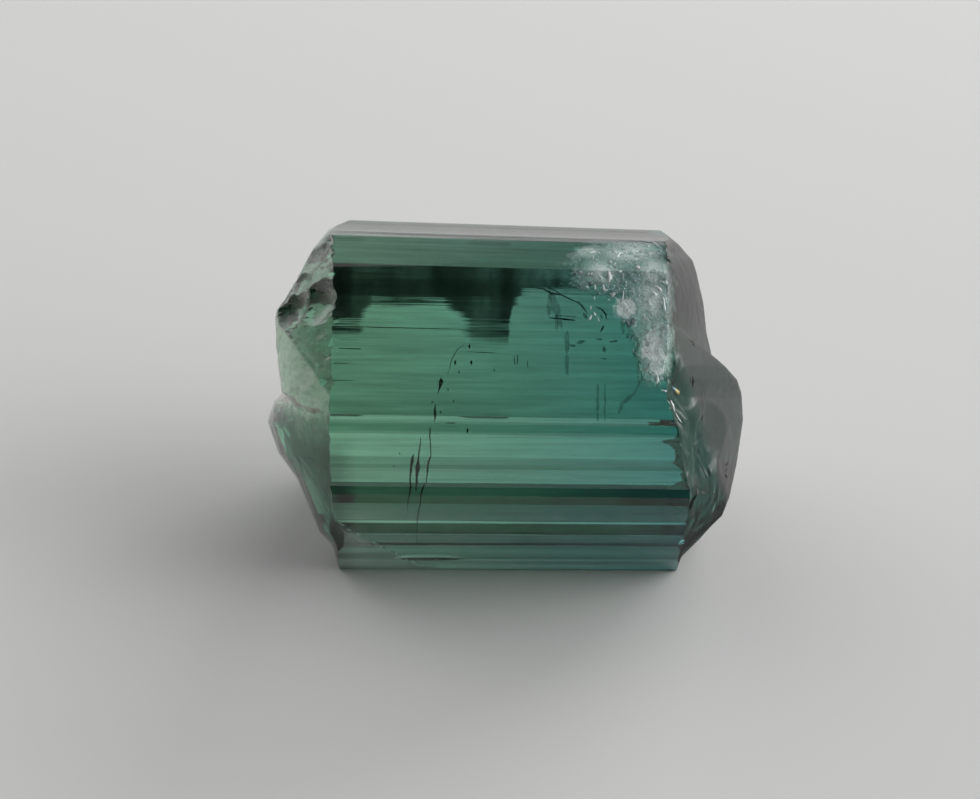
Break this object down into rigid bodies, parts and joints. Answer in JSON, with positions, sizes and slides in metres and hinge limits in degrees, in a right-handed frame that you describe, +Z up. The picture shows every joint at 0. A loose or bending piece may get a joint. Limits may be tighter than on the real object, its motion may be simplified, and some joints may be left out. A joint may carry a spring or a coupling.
{
  "type": "tourmaline crystal",
  "caption": "Short broken length of a blue-green tourmaline prism with long grooves along its faces and shell-like breaks at both ends, lying on one flat face.",
  "frame": {"origin": "on the resting face, under the middle of the crystal's bounding box", "axes": "+X along the prism, from the flaked left break to the smooth right break; +Z up from the resting prism face; the grooved front looks along -Y"},
  "size_m": [0.0124, 0.0086, 0.0085],
  "materials": {
    "tourmaline": "gloss"
  },
  "bodies": {
    "root": {"tourmaline_crystal": "tourmaline"}
  },
  "joints": []
}
